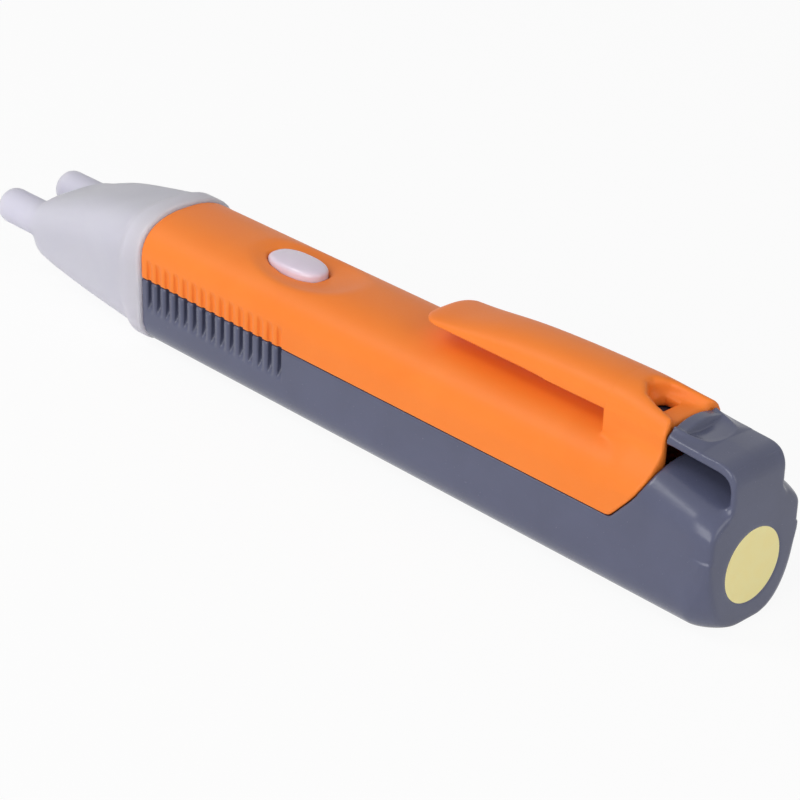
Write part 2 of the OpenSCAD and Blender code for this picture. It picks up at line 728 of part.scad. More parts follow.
nose_lens();
upper_shell();
pocket_clip();
battery_tray();
latch_tongue();
torch_button();
inspection_sticker();
circuit_board();
board_screws();
sensor_fork();
alarm_led();
torch_led();
led_leads();
buzzer();
buzzer_pins();
logic_chip();
chip_legs();
chip_resistors();
chip_capacitors();
can_capacitor();
transistors();
switch_body();
switch_legs();
switch_plunger();
positive_contact();
negative_wiper();
front_cell();
rear_cell();
cell_caps();
tail_spring();
spring_plate();
return_strip();
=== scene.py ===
import math
import bpy
import numpy as np
from mathutils import Matrix, Vector


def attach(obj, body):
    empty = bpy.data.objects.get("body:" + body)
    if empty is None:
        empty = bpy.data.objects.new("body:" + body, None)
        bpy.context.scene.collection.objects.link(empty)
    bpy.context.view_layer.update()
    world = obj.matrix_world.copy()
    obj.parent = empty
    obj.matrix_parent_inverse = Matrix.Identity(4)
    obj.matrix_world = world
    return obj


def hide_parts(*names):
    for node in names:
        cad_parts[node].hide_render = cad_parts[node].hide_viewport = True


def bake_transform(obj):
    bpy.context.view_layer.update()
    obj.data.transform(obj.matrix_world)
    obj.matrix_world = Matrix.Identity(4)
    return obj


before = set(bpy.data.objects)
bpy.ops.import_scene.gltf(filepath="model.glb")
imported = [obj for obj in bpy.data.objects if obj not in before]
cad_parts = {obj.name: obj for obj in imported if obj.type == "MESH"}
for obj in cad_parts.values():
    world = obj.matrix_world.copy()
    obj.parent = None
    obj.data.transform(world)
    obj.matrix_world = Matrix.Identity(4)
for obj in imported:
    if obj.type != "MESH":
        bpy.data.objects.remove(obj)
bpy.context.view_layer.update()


# Nose lens. One frosted polycarbonate moulding: a blunt snout with two prongs that reach round a
# conductor, and a collar that slips over the front of both shells and holds them together.
# All sizes are in millimetres until a skin is made.
def weld(first, second, fillet):
    """Two distance fields as one solid, with a fillet of about this size in the corner."""
    near = np.clip(fillet - np.abs(first - second), 0, None) / fillet
    return np.minimum(first, second) - near * near * fillet / 4


def trim(first, second, edge):
    """What lies in both solids, with the edge between them rounded by about this much."""
    return -weld(-first, -second, edge)


def outline(points, u, v):
    """Signed distance to a closed outline in the plane of u and v, negative inside."""
    u, v = np.broadcast_arrays(u, v)
    best = np.full(u.shape, 1e9)
    inside = np.zeros(u.shape, bool)
    for (u0, v0), (u1, v1) in zip(points, np.roll(points, -1, 0)):
        du, dv = u1 - u0, v1 - v0
        along = np.clip(((u - u0) * du + (v - v0) * dv) / (du * du + dv * dv + 1e-12), 0, 1)
        best = np.minimum(best, (u - u0 - along * du) ** 2 + (v - v0 - along * dv) ** 2)
        if dv:
            inside ^= ((v0 > v) != (v1 > v)) & (u < u0 + (v - v0) * du / dv)
    return np.where(inside, -1, 1) * np.sqrt(best)


def slices(*runs):
    """Grid positions from runs of (start, stop, spacing)."""
    steps = [np.linspace(start, stop, round((stop - start) / gap) + 1) for start, stop, gap in runs]
    return np.unique(np.round(np.concatenate(steps), 4))


def skin(name, xs, ys, zs, field):
    """Smooth mesh object over the zero level of a distance field sampled on a box grid."""
    grid = (xs, ys, zs)
    inside = field < 0
    size = np.array(field.shape) - 1
    filled = sum(inside[i:i + size[0], j:j + size[1], k:k + size[2]].astype(np.int8)
                 for i in (0, 1) for j in (0, 1) for k in (0, 1))
    crossed = (filled > 0) & (filled < 8)
    number = np.full(size, -1)
    number[crossed] = np.arange(crossed.sum())
    total = np.zeros((crossed.sum(), 4))
    faces = []
    for axis, (u, v) in enumerate(((1, 2), (2, 0), (0, 1))):
        low = tuple(slice(0, -1) if d == axis else slice(None) for d in range(3))
        high = tuple(slice(1, None) if d == axis else slice(None) for d in range(3))
        cut = inside[low] != inside[high]
        edge = np.argwhere(cut)
        start, stop = field[low][cut], field[high][cut]
        point = np.stack([grid[d][edge[:, d]] for d in range(3)], 1)
        point[:, axis] += start / (start - stop) * np.diff(grid[axis])[edge[:, axis]]
        ring = []
        for du, dv in ((-1, -1), (0, -1), (0, 0), (-1, 0)):
            cell = edge.copy()
            cell[:, u] += du
            cell[:, v] += dv
            ring.append(number[cell[:, 0], cell[:, 1], cell[:, 2]])
            for d in range(3):
                total[:, d] += np.bincount(ring[-1], point[:, d], len(total))
            total[:, 3] += np.bincount(ring[-1], minlength=len(total))
        ring = np.stack(ring, 1)
        ring[start >= 0] = ring[start >= 0][:, ::-1]
        faces.append(ring)
    mesh = bpy.data.meshes.new(name)
    mesh.from_pydata((total[:, :3] / total[:, 3:] * 0.001).tolist(), [], np.concatenate(faces).tolist())
    mesh.shade_smooth()
    piece = bpy.data.objects.new(name, mesh)
    bpy.context.scene.collection.objects.link(piece)
    return piece


def body_outline(inset=0.0, top=21.2, corner=4.6, flat=4.8, power=2.4, half=9.35, bow=2.0):
    """Section of the body: flat underside, rounded lower corners, straight sides and an arched top."""
    shoulder = 14.5
    below = np.radians(np.arange(0, 90.1, 6))
    above = np.radians(np.arange(0, 90.1, 2.5))
    deep = max(inset, 0)
    lower = np.stack([flat - 0.4 * inset + (half - 0.6 * inset - flat) * np.sin(below) ** (2 / bow),
                      deep + (corner - deep) * (1 - np.cos(below).clip(0) ** (2 / bow))], 1)
    arch = np.stack([(half - inset) * np.cos(above).clip(0) ** (2 / power),
                     shoulder + (top - inset - shoulder) * np.sin(above) ** (2 / power)], 1)
    side = np.concatenate([lower, arch])
    return np.concatenate([side, side[::-1] * (-1, 1)])


def snout(x, y, z, inset):
    """Rounded box that swells from the front of the nose to its collar and droops behind the prongs."""
    front, length, square = -70.3, 29.3, 3.3
    along = np.clip((x - front) / length, 0, 1)
    wide = 8.2 + 1.72 * along ** 0.65 - inset
    droop = 0.33 * np.exp(-((along - 0.2) / 0.17) ** 2)
    high = 2.9 + 7.45 * along ** 0.46 + 0.2 * along ** 3 - droop - inset
    across = np.abs(y) / wide
    upward = np.abs(z - 9.6 - 0.85 * along - 0.2 * along ** 3 + droop) / high
    reach = (across ** square + upward ** square) ** (1 / square) + 1e-6
    steep = np.hypot(across ** (square - 1) / wide, upward ** (square - 1) / high)
    return (reach - 1) / (reach ** (1 - square) * steep + 1e-6)


prong_tip, prong_back, prong_apart, prong_height = -77.48, -60, 5.85, 10.55
snout_front, collar_front, collar_back, lens_wall = -69.6, -41.9, -38.03, 1.7
xs, ys, zs = slices((-78.1, -37.3, 0.32)), slices((-10.6, 10.6, 0.32)), slices((-0.8, 22.6, 0.32))
x, y, z = np.ix_(xs, ys, zs)
lens = np.maximum(trim(snout(x, y, z, 0), snout_front - x, 3.7), x + 40)
taper = 2.98 - 1.5 * np.clip((x + 69.3) / 9, 0, 1)
prongs = trim(np.hypot(np.abs(y) - prong_apart, z - prong_height) - taper, prong_tip - x, 1.6)
lens = weld(lens, np.maximum(prongs, x - prong_back), 0.7)
envelope = outline(body_outline(-0.6), y, z)
collar = trim(trim(envelope, collar_front - x, 1.8), x - collar_back, 0.4)
lens = np.maximum(weld(lens, collar, 1.2), np.maximum(envelope, -z))
lens = trim(lens, -trim(snout(x, y, z, lens_wall), -68.3 - x, 1), 0.3)
lens = trim(lens, -trim(outline(body_outline(1.0), y, z), -41.4 - x, 0.5), 0.3)
nose = skin("nose", xs, ys, zs, lens)


def srgb(code):
    """Linear colour from an sRGB hex code."""
    part = [int(code[i:i + 2], 16) / 255 for i in (1, 3, 5)]
    return [c / 12.92 if c <= 0.04045 else ((c + 0.055) / 1.055) ** 2.4 for c in part] + [1.0]


def add(tree, kind, settings, links=()):
    """Adds a node, sets its properties and sockets, and links sockets to other nodes' outputs."""
    node = tree.nodes.new(kind)
    for key, value in settings.items():
        if isinstance(key, str) and hasattr(node, key):
            setattr(node, key, value)
        else:
            node.inputs[key].default_value = value
    for key, source in dict(links).items():
        tree.links.new(source, node.inputs[key])
    return node


def finish(name, dark, light, patch, grain, rough, relief, sockets=()):
    """Material whose colour drifts over patches and whose surface has a fine grain, sized in millimetres."""
    made = bpy.data.materials.new(name)
    made.use_nodes = True
    tree = made.node_tree
    place = add(tree, "ShaderNodeTexCoord", {}).outputs["Object"]
    drift = add(tree, "ShaderNodeTexNoise", {"Scale": 1000 / patch, "Detail": 4.0, "Distortion": 0.5},
                {"Vector": place})
    tint = add(tree, "ShaderNodeMix", {"data_type": "RGBA", "name": "tint", 6: srgb(dark), 7: srgb(light)},
               {0: drift.outputs["Fac"]})
    fine = add(tree, "ShaderNodeTexNoise", {"Scale": 1000 / grain, "Detail": 2.0}, {"Vector": place})
    matt = add(tree, "ShaderNodeMapRange", {"To Min": rough[0], "To Max": rough[1]},
               {"Value": fine.outputs["Fac"]})
    bump = add(tree, "ShaderNodeBump", {"Strength": 0.3, "Distance": relief / 1000},
               {"Height": fine.outputs["Fac"]})
    shader = tree.nodes["Principled BSDF"].inputs
    tree.links.new(tint.outputs[2], shader["Base Color"])
    tree.links.new(matt.outputs[0], shader["Roughness"])
    tree.links.new(bump.outputs[0], shader["Normal"])
    for key, value in dict(sockets).items():
        shader[key].default_value = value
    return made


# Frosted polycarbonate: light goes in and scatters, so the lens glows softly and has no hard shade.
# The eroded mould leaves a matt grain of about 0.25 mm, and the collar is painted warmer towards the shell: a
# painted glow of the orange shell showing through it.
frosted_pc = finish("frosted_polycarbonate", "#C8C6D6", "#D4D2E0", 11.0, 0.25, (0.42, 0.56), 0.03, {
    "IOR": 1.58, "Specular IOR Level": 0.25, "Subsurface Weight": 1.0,
    "Subsurface Radius": (1.0, 0.96, 1.0), "Subsurface Scale": 0.006})
tree = frosted_pc.node_tree
# Painted light: towards the back of the collar the colour turns warm, standing in for the orange shell's
# light shining through.
along = add(tree, "ShaderNodeSeparateXYZ", {}, {0: tree.nodes["Texture Coordinate"].outputs["Object"]})
near = add(tree, "ShaderNodeMapRange", {
    "interpolation_type": "SMOOTHSTEP", "From Min": -0.046, "From Max": -0.0385, "To Max": 0.06},
    {"Value": along.outputs["X"]})
painted_shell_glow = add(tree, "ShaderNodeMix", {"data_type": "RGBA", 7: srgb("#DDBFB4")},
           {0: near.outputs[0], 6: tree.nodes["tint"].outputs[2]})
tree.links.new(painted_shell_glow.outputs[2], tree.nodes["Principled BSDF"].inputs["Base Color"])
nose.data.materials.append(frosted_pc)
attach(nose, "housing")
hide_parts("nose_lens")


# Upper shell. Orange ABS, moulded in one piece with the hump that carries the pocket clip and roofs
# the latch. Two lips inside guide the battery tray, and two posts take the board's screws.
parting, hump_front, hump_rear, button_x = 11.7, 54.7, 65.65, -11.7


def rear_edge(x, z, gap):
    """Side view of the upper shell: parting line, slanted rear corner and rear rim."""
    corner = ((x - 60.25 - gap) * 5.5 - (z - parting + gap) * 4.95) / math.hypot(5.5, 4.95)
    upright = ((x - 65.2 - gap) * 3.0 - (z - 17.2) * 0.6) / math.hypot(3.0, 0.6)
    return trim(trim(parting - gap - z, corner, 0.5), upright, 1.5)


def rim(x, y, z, play):
    """Rear rim of the hump, or with some play the front of the tongue, which leans back to swing clear."""
    nest = 0.5 * np.clip(1 - (y / 5.3) ** 2, 0, 1)
    return x - hump_rear + nest - 0.03 * (z - 22) - play - 0.8 * play * np.clip(z - 23.3, 0, 3)


def crown(x, y, z):
    """Arched section of the hump's back, which widens and falls a little towards the rear."""
    turn = np.radians(np.arange(0, 180.1, 4))
    across, up = np.cos(turn), np.sin(turn).clip(0)
    arch = np.stack([5.2 * np.sign(across) * np.abs(across) ** 0.87, 24.2 + 3.9 * up ** 0.87], 1)
    fall = np.clip((x - 56) / 10, 0, 1)
    fall = fall * fall * (3 - 2 * fall)
    return outline(np.concatenate([[(-5.2, 21.0), (5.2, 21.0)], arch]), y / (1 + 0.1 * fall), z + 0.7 * fall)


def mirrored(half):
    """Closed outline from its half on one side of the middle line."""
    return np.concatenate([half, np.array(half[::-1]) * (1, -1)])


groove_first, groove_pitch, groove_count = -36, 2.19, 15
groove_marks = (-0.62, -0.54, -0.47, -0.38, 0, 0.38, 0.47, 0.54, 0.62)
flutes = np.arange(groove_count) * groove_pitch + groove_first
flutes = np.concatenate([flutes + mark for mark in groove_marks]).round(4)
shell_front, spigot_front, shell_wall = -38, -41.4, 1.6
xs = slices((-42.0, -37.2, 0.25), (-4.6, 5.0, 0.35), (5.0, 51.0, 0.9), (51.0, 67.2, 0.22))
xs = np.union1d(xs, flutes)
ys = slices((-9.9, 9.9, 0.3))
zs = slices((9.6, 11.3, 0.28), (11.3, 12.1, 0.13), (12.1, 28.8, 0.28))
x, y, z = np.ix_(xs, ys, zs)
# barrel, hump and the spigot that goes into the collar
barrel = trim(outline(body_outline(), y, z), shell_front - x, 0.3)
spread = np.clip((x - hump_front) / 6.5, 0, 1)
spread = spread * spread * (3 - 2 * spread)
flank = (np.abs(y) - 5.3 - 0.52 * np.clip(22.6 - z, 0, 5.6) * spread) * 0.92
flank = np.maximum(flank, np.maximum(z - 24.3, 14 - z))
hump = trim(weld(flank, crown(x, y, z), 0.6), hump_front - x, 0.4)
shell = weld(barrel, hump, 0.4 + 1.4 * spread)
shell = trim(trim(shell, rear_edge(x, z, 0), 0.35), rim(x, y, z, 0), 0.35)
spigot = trim(outline(body_outline(1.1), y, z), 11.8 - z, 0.2)
spigot = trim(spigot, np.maximum(spigot_front - x, x + 36), 0.2)
shell = weld(shell, spigot, 0.1)
# hollow inside, thicker roof under the button, and the way in for the latch
hollow = np.maximum(outline(body_outline(shell_wall), y, z), np.maximum(-36 - x, 9.7 - z))
roof = np.maximum(np.maximum(np.abs(x + 9.5) - 11.5, np.abs(y) - 6), 18.7 - z)
hollow = trim(hollow, -roof, 0.3)
hollow = np.minimum(hollow, np.maximum(outline(body_outline(2.3), y, z), np.abs(x + 39) - 3.5))
passage = np.maximum(np.maximum(56.3 - x, np.abs(y) - 3.6), np.maximum(17 - z, z - 24.0))
mouth = np.maximum(np.maximum(64.6 - x, np.abs(y) - 4.6), np.maximum(19 - z, z - 24.0))
shell = trim(shell, -weld(np.minimum(hollow, passage), mouth, 0.3), 0.25)
# thumb recess with its window, and the dish and well of the button
recess = outline(mirrored([(58.2, -0.5), (59.6, -2.2), (62.0, -3.0), (68, -4.1)]), x, y)
shell = trim(shell, -trim(recess, 25.3 - z, 1.4), 1.1)
window = outline(mirrored([(58.9, -0.8), (59.5, -1.5), (61.8, -1.8)]), x, y)
shell = trim(shell, -np.maximum(window, 22 - z), 0.3)
dish = np.sqrt((x + 9.0) ** 2 + y ** 2 + (z - 58.0) ** 2) - 38.4
shell = trim(shell, -dish, 0.35)
well = ((np.abs(x - button_x) / 5.7) ** 2.4 + (np.abs(y) / 3.05) ** 2.4) ** (1 / 2.4)
shell = trim(shell, -np.maximum((well - 1) * 3.6, 14 - z), 0.15)
# tray lips and screw posts
lip = np.maximum(np.abs(np.abs(y) - 7.2) - 0.55, np.abs(z - 11.6) - 1.4)
lip = np.maximum(np.maximum(-36.4 - x, x - 58.2), lip)
post = np.minimum(np.hypot(x + 33, y + 4.9), np.hypot(x + 18.5, y - 4.9)) - 1.6
post = np.maximum(np.maximum(post, -(post + 1.05)), np.abs(z - 16.9) - 2.5)
shell = weld(np.minimum(shell, lip), post, 0.2)
upper = skin("upper_shell_skin", xs, ys, zs, shell)


# Finger grooves. Fifteen short flutes on each side, milled into both halves of the mould as arcs that
# run deepest on the parting line; one tree sinks them into the skin of either shell.
def new_tree(name, inputs):
    """Geometry node tree with named inputs, given as a number or a kind of socket, and their identifiers."""
    made = bpy.data.node_groups.new(name, "GeometryNodeTree")
    identifiers = {}
    for label, value in inputs.items():
        kind = value if isinstance(value, str) else "NodeSocketFloat"
        socket = made.interface.new_socket(label, in_out="INPUT", socket_type=kind)
        if value != kind:
            socket.default_value = value
        identifiers[label] = socket.identifier
    made.interface.new_socket("Geometry", in_out="OUTPUT", socket_type="NodeSocketGeometry")
    return made, identifiers


def end_tree(tree, geometry, material):
    """Ends a tree: real geometry in one material."""
    real = add(tree, "GeometryNodeRealizeInstances", {}, {0: geometry})
    clad = add(tree, "GeometryNodeSetMaterial", {}, {"Geometry": real.outputs[0], "Material": material})
    add(tree, "NodeGroupOutput", {}, {0: clad.outputs[0]})


def run_tree(piece, tree, settings):
    """Runs a tree on a piece, inputs set by identifier, and leaves the result as a plain mesh."""
    made = piece.modifiers.new(tree.name, "NODES")
    made.node_group = tree
    for identifier, value in settings.items():
        made[identifier] = value
    plain = bpy.data.meshes.new_from_object(piece.evaluated_get(bpy.context.evaluated_depsgraph_get()))
    piece.modifiers.remove(made)
    piece.data = plain
    plain.shade_smooth()


grooves, groove_input = new_tree("finger_grooves", {
    "Geometry": "NodeSocketGeometry", "Material": "NodeSocketMaterial", "First": groove_first / 1000,
    "Pitch": groove_pitch / 1000, "Count": groove_count, "Width": 0.001, "Depth": 0.001,
    "Half height": 0.0049, "Parting": parting / 1000, "Half width": 0.00935})
given = add(grooves, "NodeGroupInput", {}).outputs
position = add(grooves, "GeometryNodeInputPosition", {})
place = add(grooves, "ShaderNodeSeparateXYZ", {}, {0: position.outputs[0]})
sums = {source.name: source for source in [*given, *place.outputs]}
for result, operation, *parts in (
        # across the nearest groove: how far off its middle, and where its wall begins and ends
        ("run", "SUBTRACT", "X", "First"), ("turn", "DIVIDE", "run", "Pitch"),
        ("whole", "ROUND", "turn"), ("last", "SUBTRACT", "Count", 1.0),
        ("capped", "MINIMUM", "whole", "last"), ("nearest", "MAXIMUM", "capped", 0.0),
        ("apart", "SUBTRACT", "turn", "nearest"), ("share", "ABSOLUTE", "apart"),
        ("off", "MULTIPLY", "share", "Pitch"), ("half", "MULTIPLY", "Width", 0.5),
        ("inner", "SUBTRACT", "half", 0.00008), ("outer", "ADD", "half", 0.00006),
        ("wall", "SMOOTHSTEP", "off", "inner", "outer"),
        # along the groove: an arc that is deepest on the parting line
        ("rise", "SUBTRACT", "Z", "Parting"), ("climb", "DIVIDE", "rise", "Half height"),
        ("drop", "ABSOLUTE", "climb"), ("curve", "POWER", "drop", 4.0),
        ("rest", "SUBTRACT", 1.0, "curve"), ("arc", "MAXIMUM", "rest", 0.0),
        ("deepest", "MULTIPLY", "arc", "Depth"), ("sink", "MULTIPLY", "deepest", "wall"),
        # what stands past the bottom of the groove is pushed back to it
        ("side", "ABSOLUTE", "Y"), ("bottom", "SUBTRACT", "Half width", "sink"),
        ("past", "SUBTRACT", "side", "bottom"), ("push", "MAXIMUM", "past", 0.0),
        ("sign", "SIGN", "Y"), ("inward", "MULTIPLY", "sign", -1.0), ("shift", "MULTIPLY", "push", "inward")):
    links = {i: sums[part] for i, part in enumerate(parts) if isinstance(part, str)}
    fixed = {i: part for i, part in enumerate(parts) if not isinstance(part, str)}
    if operation == "SMOOTHSTEP":
        step = add(grooves, "ShaderNodeMapRange", {
            "interpolation_type": operation, "To Min": 1.0, "To Max": 0.0}, links)
    else:
        step = add(grooves, "ShaderNodeMath", {"operation": operation, **fixed}, links)
    sums[result] = step.outputs[0]
offset = add(grooves, "ShaderNodeCombineXYZ", {}, {"Y": sums["shift"]})
moved = add(grooves, "GeometryNodeSetPosition", {},
            {"Geometry": given["Geometry"], "Offset": offset.outputs[0]})
joined = add(grooves, "GeometryNodeMergeByDistance", {"Distance": 0.000002}, {"Geometry": moved.outputs[0]})
end_tree(grooves, joined.outputs[0], given["Material"])


def flute(piece, material, half_height, depth):
    """Sinks the finger grooves into the skin of a shell."""
    run_tree(piece, grooves, {groove_input["Material"]: material, groove_input["Half height"]: half_height,
                              groove_input["Depth"]: depth})


# Orange ABS straight from a lightly etched mould: satin, with a grain of about 0.3 mm that breaks up
# the highlights and slow colour swirls where the melt flowed. Grain is drawn twice life size to show.
orange_abs = finish("moulded_abs_orange", "#F27C27", "#FB8B36", 14.0, 0.33, (0.40, 0.54), 0.03, {
    "IOR": 1.53, "Specular IOR Level": 0.25, "Subsurface Weight": 0.05,
    "Subsurface Radius": (1.0, 0.5, 0.2), "Subsurface Scale": 0.001})
flute(upper, orange_abs, 0.0036, 0.0004)
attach(upper, "housing")
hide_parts("upper_shell")


# Pocket clip. A springy leaf of the same orange ABS, moulded on to the hump and free from there to its
# rounded tip; it bends near its root when it goes over a pocket's edge.
clip_tip = 19.0
xs, ys, zs = slices((18.2, 22, 0.22), (22, 55.9, 0.32)), slices((-5.8, 5.8, 0.24)), slices((22.9, 28.7, 0.2))
x, y, z = np.ix_(xs, ys, zs)
leaf = np.empty((len(xs), len(ys), len(zs)))
turn = np.radians(np.arange(0, 180.1, 5))
across, up = np.cos(turn), np.sin(turn).clip(0)
for i, here in enumerate(xs):
    along = min((here - clip_tip) / (hump_front - clip_tip), 1.0)
    wide = 5.2 - 0.4 * (1 - along)
    if along < 0.09:
        wide *= math.sqrt(max(0.0, 1 - max(0.0, 1 - along / 0.09) ** 2 * 0.9))
    under = 24.0 + 0.25 * (1 - along)
    top = 25.0 + 3.1 * math.sin(math.pi / 2 * max(along, 0) ** 0.7)
    top -= 0.3 * math.exp(-((along - 0.22) / 0.2) ** 2)
    top -= 0.5 * max(0.0, 1 - along / 0.06) ** 2 + 0.24 * math.exp(-((along - 0.14) / 0.15) ** 2)
    arch = np.stack([wide * np.sign(across) * np.abs(across) ** 0.87,
                     under + 0.2 + (top - under - 0.2) * up ** 0.87], 1)
    leaf[i] = outline(np.concatenate([[(-wide, under), (wide, under)], arch]), ys[:, None], zs[None, :])
leaf = trim(trim(leaf, clip_tip - x, 0.5), x - 55.5, 0.2) + 0.012 * np.clip(x - 54.4, 0, 1)
clip = skin("clip_leaf", xs, ys, zs, leaf)
clip.data.materials.append(orange_abs)
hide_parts("pocket_clip")
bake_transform(clip)


# Torch button. A pillow of white polycarbonate blend that stands in an oval dish; its flange is caught
# under the roof of the shell and it rests on the plunger of the switch.
button_top, flange_height = 21.35, 18.33
xs, ys, zs = slices((-19.2, -4.2, 0.22)), slices((-4.8, 4.8, 0.22)), slices((17.5, 22.0, 0.16))
x, y, z = np.ix_(xs, ys, zs)
oval = ((np.abs(x - button_x) / 5.6) ** 2.4 + (np.abs(y) / 2.95) ** 2.4) ** (1 / 2.4)
pillow = trim((oval - 1) * 3.4, z - button_top + 0.45 * oval ** 2.2, 0.7)
pillow = trim(pillow, 18.1 - z, 0.1)
flange = (np.hypot((x - button_x) / 6.6, y / 4.0) - 1) * 4.2
flange = np.maximum(flange, np.abs(z - flange_height) - 0.23)
button = skin("button_pillow", xs, ys, zs, np.minimum(pillow, flange))

# Polished white polycarbonate with a faint lilac cast: a small sharp highlight, a little depth of light
# at its edges and the fine rubbing marks of fingertips.
white_button = finish("polished_polycarbonate_white", "#D9CADB", "#E6DAE8", 4.0, 1.1, (0.12, 0.30), 0.004, {
    "IOR": 1.56, "Subsurface Weight": 0.4, "Subsurface Radius": (1.0, 0.8, 0.9), "Subsurface Scale": 0.0012})
button.data.materials.append(white_button)
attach(button, "button")
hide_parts("torch_button")


# Battery tray. Grey ABS: the underside of the tester, the finger rest and the whole tail in one piece.
# It slides out backwards with the two cells in it, held by the latch tongue on its end.
tail_x, cell_height, sticker_height = 77.5, 7.15, 8.4
rib_places = (-10.2, 17.8, 33.8, 61.8)


def tail_section(x, y, z):
    """Body section whose back falls away behind the hump and whose underside ends round."""
    field = np.empty((x.size, y.size, z.size))
    plain = outline(body_outline(), y, z)[0]
    for i, here in enumerate(x.ravel()):
        near = 1 - (1 - min(max((here - 73.8) / 3.7, 0), 1) ** 1.64) ** (1 / 1.64)
        section = body_outline(top=21.2 - 0.21 * (here - 65), corner=4.6 + 9.6 * near, flat=4.8 - 4.0 * near,
                               power=2.4 - 0.9 * near, half=9.35 - 0.75 * near, bow=2 + 0.22 * near)
        field[i] = plain if here < 65 else outline(section, y[0], z[0])
    return field


def tail_end(x, y, z):
    """End face, very slightly domed."""
    return x - tail_x + 0.04 * ((y / 9) ** 2 + ((z - 9) / 10) ** 2)


def tongue_form(x, y, z):
    """Tongue and end plate as one form: outer slopes, thumb scoop and the raised lip at the front."""
    side = np.abs(y)
    fade = np.exp(-(x - 66) / 4.5)
    slope = z - 24.15 - 0.35 * np.exp(-(x - 65.7) / 3) - (5.4 - side) * 0.64 * fade
    slope = slope / np.sqrt(1 + 0.41 * fade ** 2)
    slope = trim(slope, z - 24.75 + 0.09 * (x - 70) - 0.7 * np.clip(71.5 - x, 0, None), 0.8)
    scoop = z - 24.5 - 0.85 * np.exp(-(x - 66) / 4)
    scoop = scoop + 0.22 * np.clip(1 - (y / 4) ** 2 - ((x - 66) / 7) ** 2, 0, 1)
    scoop = scoop + 0.25 * np.exp(-((x - 67.8) / 1.2) ** 2) * np.clip(1 - (y / 3.8) ** 2, 0, 1)
    lip = trim(z - 25.85 + 0.045 * y ** 2 + 0.1 * (x - 65.7), 0.94 * (x - 67.45) + 0.34 * (z - 25.4), 0.25)
    scoop = weld(scoop, lip, 0.1)
    bead = 0.22 * np.exp(-((slope - scoop) / 0.17) ** 2 - ((x - 66) / 3.6) ** 2)
    end = trim(np.maximum(slope, scoop) - bead, tail_end(x, y, z), 3.0)
    elbow = weld(76.6 - x, 23.3 - 0.085 * np.clip(x - 67, 0, None) - z, 2.4)
    elbow = trim(np.maximum(elbow, 15 - z), side - 5.45 + 0.025 * np.clip(x - 67, 0, None), 0.5)
    return trim(elbow, end, 0.5)


xs = slices((-41.6, -37.2, 0.3), (-4.6, 57.0, 1.0), (57.0, 64.0, 0.35), (64.0, 75.5, 0.25),
            (75.5, 78.1, 0.13))
xs = np.union1d(np.union1d(xs, flutes), [rib + d for rib in rib_places for d in (-0.75, -0.5, 0.5, 0.75)])
ys = slices((-9.9, 9.9, 0.36))
zs = slices((-0.7, 11.2, 0.42), (11.2, 12.2, 0.13), (12.2, 18.0, 0.36), (18.0, 26.6, 0.22))
x, y, z = np.ix_(xs, ys, zs)
# trough with the fine ledge that carries on the parting line, the end plate and the front spigot
trough = trim(tail_section(x, y, z), tail_end(x, y, z), 0.4)
ledge = 0.1 * (1 - np.tanh((z - parting) / 0.1)) * np.clip((z - 8.5) / 2, 0, 1)
trough = trough - ledge * np.clip(x - 63, 0, 1)
trough = trim(trim(trough, -rear_edge(x, z, 0.08), 0.3), shell_front - x, 0.3)
plate = np.maximum(tongue_form(x, y, z), np.minimum(76.3 - x, z - 22.6))
tray = np.maximum(weld(trough, plate, 1.1), tail_end(x, y, z))
front = trim(outline(body_outline(1.3), y, z), z - 9.3, 0.3)
tray = weld(tray, trim(front, np.maximum(-41.0 - x, x + 36), 0.3), 0.1)
# hollow for the cells, open at the front, and the ribs that cradle them
hollow = np.maximum(outline(body_outline(shell_wall, 19.2), y, z), np.maximum(-36 - x, x - 75.8))
hollow = np.maximum(hollow, -np.maximum(64.2 - x, 15.1 - z))
hollow = np.minimum(hollow, np.maximum(outline(body_outline(2.6, 30), y, z), x + 35.5))
step_back = np.maximum(np.abs(x + 37) - 2, 9.5 - z)
hollow = np.minimum(hollow, np.maximum(outline(body_outline(shell_wall, 30), y, z), step_back))
tray = trim(tray, -hollow, 0.25)
cradle = np.min([np.abs(x - rib) for rib in rib_places], 0) - 0.6
cradle = np.maximum(np.maximum(cradle, outline(body_outline(1.4), y, z)), z - 7.1)
cradle = np.maximum(cradle, 5.25 - np.hypot(y, z - cell_height))
tray = weld(tray, cradle, 0.3)
bed = np.maximum(np.hypot(y, z - sticker_height) - 5.55, 77.36 - x)
tray = trim(trim(tray, -bed, 0.15), -z, 0.2)
trough_piece = skin("battery_tray_skin", xs, ys, zs, tray)

# Dark grey ABS from a polished mould: a low gloss with a cold, slightly blue cast and a fine grain.
# Painted shade darkens its colour in the corners and hollows.
grey_abs = finish("moulded_abs_dark_grey", "#4E5167", "#595D77", 9.0, 0.33, (0.2, 0.3), 0.03, {
    "IOR": 1.53, "Specular IOR Level": 0.38})
tree = grey_abs.node_tree
# Painted shade: ambient occlusion within 3.5 mm mixes the colour towards near black in corners, creases and
# hollows, where shade falls.
corner = add(tree, "ShaderNodeAmbientOcclusion", {"samples": 6, "Distance": 0.0035})
unshaded_share = add(tree, "ShaderNodeMapRange", {"From Min": 0.08, "From Max": 0.5, "To Min": 0.12},
            {"Value": corner.outputs["AO"]})
painted_corner_shade = add(tree, "ShaderNodeMix", {"data_type": "RGBA", 6: srgb("#22232B")},
            {0: unshaded_share.outputs[0], 7: tree.nodes["tint"].outputs[2]})
tree.links.new(painted_corner_shade.outputs[2], tree.nodes["Principled BSDF"].inputs["Base Color"])
flute(trough_piece, grey_abs, 0.005, 0.00125)
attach(trough_piece, "tray")
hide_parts("battery_tray")


